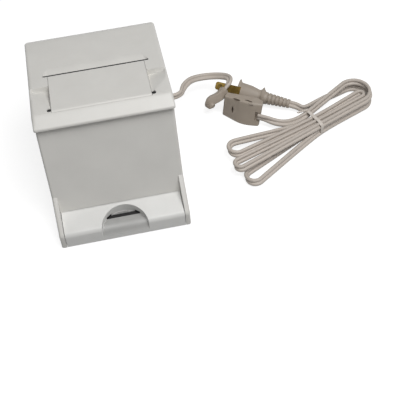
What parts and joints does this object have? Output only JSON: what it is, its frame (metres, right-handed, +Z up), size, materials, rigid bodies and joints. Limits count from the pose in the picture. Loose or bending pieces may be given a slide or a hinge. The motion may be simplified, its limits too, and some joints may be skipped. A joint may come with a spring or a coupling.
{
  "type": "anesthetic cartridge warmer",
  "caption": "Countertop warmer for dental anesthetic cartridges: hinged loading flap on a sloping top, leaning front, pull-out dispensing drawer with finger notch, and a tied flat cord.",
  "frame": {"origin": "centre of the casing footprint on the surface it stands on", "axes": "+X to the right as the user faces the drawer, +Y to the rear, +Z up; the drawer pulls out along -Y"},
  "size_m": [0.2603, 0.1376, 0.0934],
  "materials": {
    "white_casing": "satin, fine grain",
    "white_drawer": "satin",
    "grey_plastic": "satin",
    "black_rubber": "matt",
    "steel": "bright",
    "aluminium": "satin",
    "silicone": "matt",
    "felt": "matt",
    "cord": "satin, two ridges",
    "plug_plastic": "satin",
    "brass": "bright",
    "tie": "satin",
    "wire": "satin",
    "terminal_plastic": "satin"
  },
  "bodies": {
    "base": {"housing": "white_casing", "cap": "white_casing", "hinge_pin": "steel", "base_plate": "grey_plastic", "feet": "black_rubber", "base_screws": "steel", "left_guide": "grey_plastic", "right_guide": "grey_plastic", "heater_plate": "aluminium", "heater_pad": "silicone", "insulation": "felt", "thermostat": "steel", "fuse_holder": "terminal_plastic", "thermal_fuse": "steel", "front_liner": "aluminium", "terminal_block": "terminal_plastic", "terminal_screws": "brass", "cord_bushing": "cord", "cord_clamp": "grey_plastic", "inner_cord": "cord", "heater_leads": "wire", "lead_cord": "cord", "lead_plug": "plug_plastic", "tap_block": "plug_plastic", "tap_relief": "plug_plastic", "tap_cord": "cord", "hank": "cord", "twist_tie": "tie", "plug_cord": "cord", "power_plug": "plug_plastic", "plug_blades": "brass"},
    "flap": {"flap": "white_casing"},
    "drawer": {"drawer_front": "white_drawer", "drawer_tray": "white_drawer"}
  },
  "joints": [
    {"name": "flap_hinge", "type": "hinge", "parent": "base", "child": "flap", "pos_m": [0, -0.019, 0.09088], "axis": [1, 0, 0], "range_deg": [0, 95]},
    {"name": "drawer_slide", "type": "slide", "parent": "base", "child": "drawer", "axis": [0, -1, 0], "range_m": [0, 0.032]}
  ]
}
